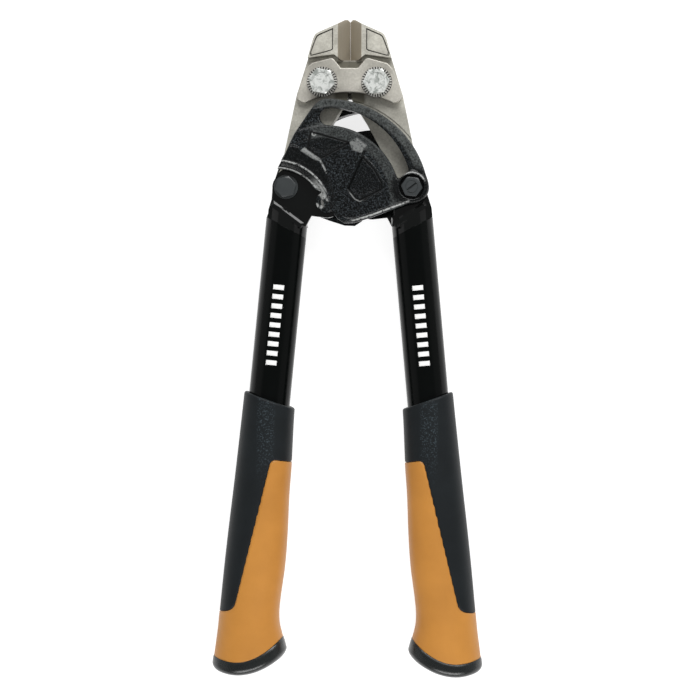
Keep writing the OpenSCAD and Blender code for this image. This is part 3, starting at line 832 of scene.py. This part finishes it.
def cast_top(x, y, outline):
    """Height of the cast skin over the tool's middle plane, mm."""
    hollow = disc(x, y, HOLLOW, HOLLOW_R)
    hub = disc(x, y, HUB, 0)
    knuckle = disc(x, y, KNUCKLE, 0)
    z = CAST_FACE + 0 * x
    # thick rim, and a low rib along the slot's inner edge
    z = z + 0.6 * rise(-rim_field(x, y), -0.6, 0.6)
    z = z + 0.4 * rise(-np.abs(disc(x, y, KNUCKLE, RIM_IN - 12.6)), -3.4, -2.2) * rise(y, 98, 104)
    # lower level beside the hollow
    z = z - 1.1 * rise(-low_field(x, y), -1.6, 0.1)
    # sloping band round the hollow with a raised lip at its outer edge
    z = z - 1.9 * (1 - rise(hollow, -0.2, 4.2)) + 0.35 * rise(-np.abs(hollow - 4.6), -0.55, 0)
    z = z + 0.25 * rise(-np.abs(hollow - 0.9), -0.5, 0)
    # panels: rounded lip, sharp fall, crowned floor
    for corners, lip in ((UPPER_PANEL, 0.12), (LOWER_PANEL, 0.3)):
        d = polygon(x, y, corners) - 0.4
        z = z + lip * rise(-np.abs(d - 0.7), -0.9, 0)
        z = z - 0.5 * rise(-d, -0.3, 0.2) - 0.5 * rise(-np.abs(d), -0.55, 0) - 0.2 * rise(-d, 0.6, 3)
    z = z - 0.6 * rise(-polygon(x, y, PANEL_SEAM), -0.45, 0)
    # pentagon boss
    z = z + 0.75 * rise(-polygon(x, y, BOSS), -0.5, 0.5)
    # knuckle lumps
    z = z + 0.9 * rise(-knuckle, -6.4, -2.5) * rise(-hollow, -6, 3)
    for cx, cy, r in LUMPS:
        z = z + 0.8 * rise(-disc(x, y, (cx, cy), 0), -r - 0.6, -r * 0.3)
    # nut well with a raised lip
    z = z + 0.55 * rise(-np.abs(hub - 7.7), -1.5, -0.5)
    z = np.where(hub < WELL_R, WELL_FLOOR, z)
    # lower edge lip, and rounded outer edges that stay clear of the underside
    lip = polygon(x, y, LOWER_EDGE) + 1.6
    z = z + 0.3 * rise(-np.abs(lip), -0.9, 0) * rise(-y, -84, -80) * rise(x, -6, 0)
    edge = np.clip(-outline, 0, EDGE_ROUND)
    drop = EDGE_ROUND - np.sqrt(EDGE_ROUND**2 - (EDGE_ROUND - edge)**2)
    return np.where(hub < WELL_R + 0.1, z, np.maximum(z - drop, CAST_FLOOR + CAST_LEAST))


def cast_wear_and_light(x, y):
    """Rubbed paint, painted highlights and painted shade of the casting: one value for each vertex
    attribute of cast_paint.
    """
    hollow, hub = disc(x, y, HOLLOW, HOLLOW_R), disc(x, y, HUB, 0)
    rim, low, base = rim_field(x, y), low_field(x, y), polygon(x, y, LOWER_EDGE)
    upper, lower = polygon(x, y, UPPER_PANEL), polygon(x, y, LOWER_PANEL)
    rib = rise(-np.abs(disc(x, y, KNUCKLE, RIM_IN - 12.0)), -5.0, -3.4) * rise(x, -24, -17)
    # the band's lower right half, where a painted highlight makes it grey and bare
    band = rise(hollow, 0.2, 0.8) * rise(-hollow, -4.2, -3.6) * rise(x - y, -116, -100) * rise(y, 79, 82)
    boss, facet = rise(-polygon(x, y, BOSS), -0.3, 0.3), rise(-polygon(x, y, STEP_FACET), -0.3, 0.3)
    # grey where the gloss is off on rim, rib and boss, and a painted highlight on the band and the step
    # facet
    dull_and_lit = np.maximum.reduce([rise(-rim, -0.6, 0.6) * 0.85, rib * 0.55, band, boss, facet])
    dull_and_lit = dull_and_lit * rise(hub, 9, 13)
    turn = np.degrees(np.arctan2(y - HUB[1], x - HUB[0]))
    # lines of bare metal along lips and edges on their lit sides: mostly painted highlights, partly
    # rubbed paint
    wear_and_highlight = np.maximum.reduce([
        line(hollow - 4.6, 0.45) * rise(y, 82, 86),
        line(hollow - 0.9, 0.4) * rise(y, 83, 87) * 0.9,
        band * 0.55 * rise(x - y, -113, -104),
        line(base + 0.9, 0.6) * rise(-y, -80, -77) * rise(x, 0, 4),
        line(hub - 7.6, 0.5) * rise(turn, 15, 35) * rise(-turn, -135, -115),
        line(lower - 0.9, 0.5) * rise(-x, -9, -5) * rise(-y, -85, -82) * 0.8,
        line(polygon(x, y, STEP_EDGE), 0.4) * 0.8,
        line(disc(x, y, (-18.6, 114.6), 1.0), 0.5) * 0.7,
        *[rise(-disc(x, y, (cx, cy), r), -0.2, 0.3) * 0.7 for cx, cy, r in LUMPS],
        facet * 0.5, boss * 0.3])
    # painted shade: black lines round the panels and along their seam
    groove_shade = np.maximum.reduce([line(upper - 0.4, 0.8), line(lower - 0.4, 0.8),
                                rise(-polygon(x, y, PANEL_SEAM), -0.45, -0.1)])
    smooth = np.maximum(rise(-low, -0.6, 0.6) * rise(y, 84, 92), rise(-hub, -14, -9)) * 0.85
    # fewer light specks inside the panels, as painted shade on their sunk floors
    smooth = np.maximum(smooth, rise(-np.minimum(upper, lower), -0.4, 0.4) * 0.5)
    return {"dull_and_lit": dull_and_lit, "wear_and_highlight": wear_and_highlight, "groove_shade": groove_shade, "smooth": smooth}


def line(d, half):
    """1 on the curve d = 0, 0 from half a line's width away."""
    return rise(-np.abs(d), -half, -half * 0.3)


def cast_bottom(x, y):
    """Height of the casting's underside: deeper along the rim and at both joints."""
    z = np.full(np.shape(x), CAST_FLOOR)
    rim = np.maximum(-disc(x, y, KNUCKLE, RIM_IN + 0.1), polygon(x, y, DEEP_FIELD))
    z = np.where(rim < 0, RIM_FLOOR, z)
    z = np.where(disc(x, y, HUB, HUB_R) < 0, JOINT_FLOOR, z)
    return np.where(disc(x, y, KNUCKLE, 5.8) < 0, JOINT_FLOOR, z)


def cut_grid(field, xs, ys):
    """Cells of a grid where field < 0, cut along field = 0: points, faces and outline edges."""
    points, index, faces, rim = [], {}, [], []

    def point(key, x, y):
        if key not in index:
            index[key] = len(points)
            points.append((x, y))
        return index[key]

    def corner(i, j):
        return point((i, j), xs[i], ys[j])

    def crossing(a, b):
        a, b = min(a, b), max(a, b)
        fa, fb = field[a], field[b]
        t = min(max(fa / (fa - fb), 0.04), 0.96)
        (ax, ay), (bx, by) = ((xs[i], ys[j]) for i, j in (a, b))
        return point((a, b), ax + (bx - ax) * t, ay + (by - ay) * t)

    for i in range(len(xs) - 1):
        for j in range(len(ys) - 1):
            ring = [(i, j), (i + 1, j), (i + 1, j + 1), (i, j + 1)]
            inside = [field[c] < 0 for c in ring]
            if not any(inside):
                continue
            if all(inside):
                faces.append([corner(*c) for c in ring])
                continue
            face, exits = [], []
            for k in range(4):
                a, b = ring[k], ring[(k + 1) % 4]
                if inside[k]:
                    face.append(corner(*a))
                if inside[k] != inside[(k + 1) % 4]:
                    face.append(crossing(a, b))
                    exits.append((face[-1], inside[k]))
            if len(exits) == 2:
                faces.append(face)
                out = next(v for v, leaves in exits if leaves)
                back = next(v for v, leaves in exits if not leaves)
                rim.append((out, back))
    return np.array(points), faces, rim


def castings(material):
    """Both castings: the back one is the front one turned half round about the long axis."""
    xs, ys = np.arange(-41, 45, CAST_STEP), np.arange(64, 136, CAST_STEP)
    gx, gy = np.meshgrid(xs, ys, indexing="ij")
    points, faces, rim = cut_grid(cast_outline(gx, gy), xs, ys)
    x, y = points[:, 0], points[:, 1]
    top, bottom = cast_top(x, y, cast_outline(x, y)), cast_bottom(x, y)
    wear_and_light = cast_wear_and_light(x, y)
    n = len(points)
    all_faces = faces + [[v + n for v in reversed(face)] for face in faces]
    all_faces += [[b, a, a + n, b + n] for a, b in rim]
    for side, sign in (("front", 1), ("back", -1)):
        place = [(sign * a * MM, b * MM, mid_z + sign * c * MM)
                 for z in (top, bottom) for a, b, c in zip(x, y, z)]
        mesh = bmesh.new()
        verts = [mesh.verts.new(p) for p in place]
        for face in all_faces:
            mesh.faces.new([verts[v] for v in face])
        obj = smooth_object(f"{side}_cast_frame", mesh, material)
        # rubbed paint, painted highlights and painted shade go to the mesh as vertex attributes
        for name, values in wear_and_light.items():
            vertex_layer(obj, name, np.concatenate([values, np.zeros(n)]).astype(np.float32))
        sharp = obj.modifiers.new("crisp_walls", "EDGE_SPLIT")
        sharp.split_angle = math.radians(50)
        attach(obj, f"{side}_casting")
        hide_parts(f"{side}_casting")


# ---------------------------------------------------------------- all

make_camera()
make_floor()
make_lights()
dress_cad()
make_grips()
castings(cast_paint())
